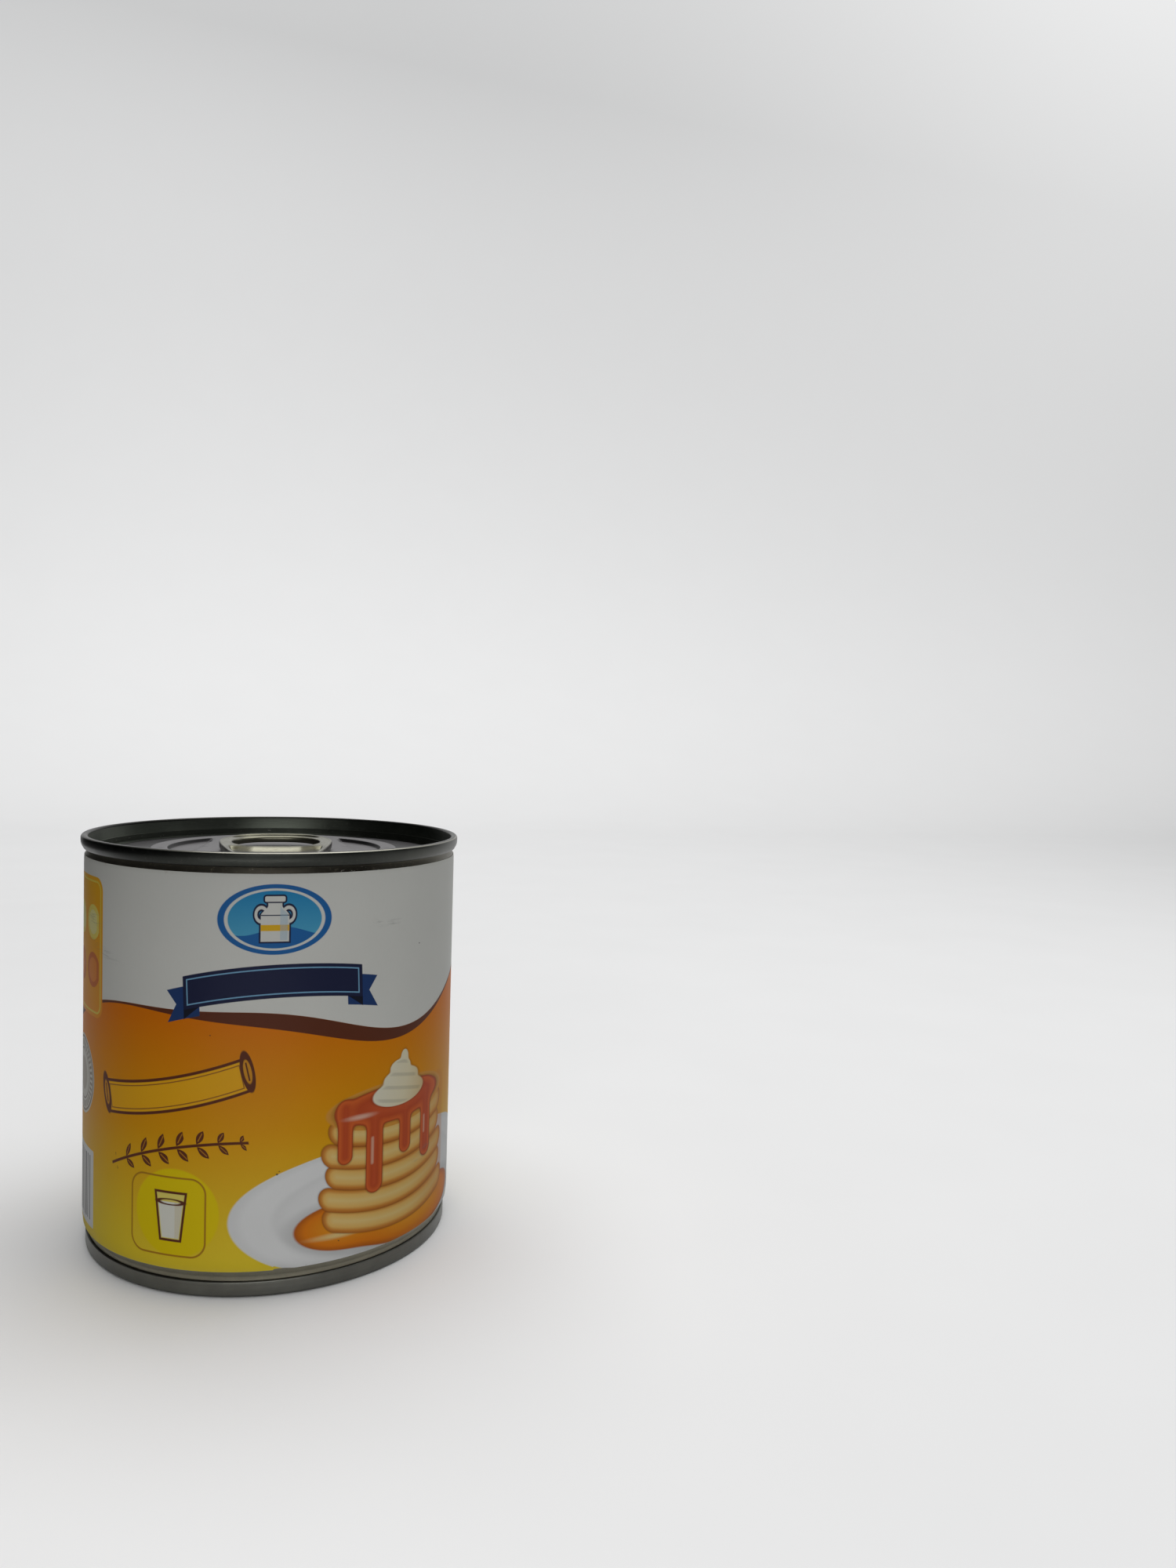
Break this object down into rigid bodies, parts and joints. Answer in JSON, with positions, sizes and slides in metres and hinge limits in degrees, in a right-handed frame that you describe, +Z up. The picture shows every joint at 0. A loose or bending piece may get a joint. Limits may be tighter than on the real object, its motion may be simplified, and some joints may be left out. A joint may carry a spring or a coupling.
{
  "type": "condensed milk can",
  "caption": "Shut round steel food can with a paper label, seamed ends and a ring-pull tab on its top end.",
  "frame": {"origin": "centre of the bottom seam's standing ring, on the surface the can stands on", "axes": "+Z up along the can's axis; -Y faces the viewer: the middle of the label's front and the nose of the pull tab; +X is to the viewer's right"},
  "size_m": [0.0742, 0.0742, 0.0806],
  "materials": {
    "tinplate": "dull drawn tinplate",
    "end_steel": "satin lacquered steel",
    "tab_steel": "bright satin steel",
    "label_paper": "semi-gloss coated paper, printed"
  },
  "bodies": {
    "root": {"can_body": "tinplate", "top_seam": "end_steel", "top_end": "end_steel", "bottom_end": "end_steel", "pull_tab": "tab_steel", "label": "label_paper"}
  },
  "joints": []
}
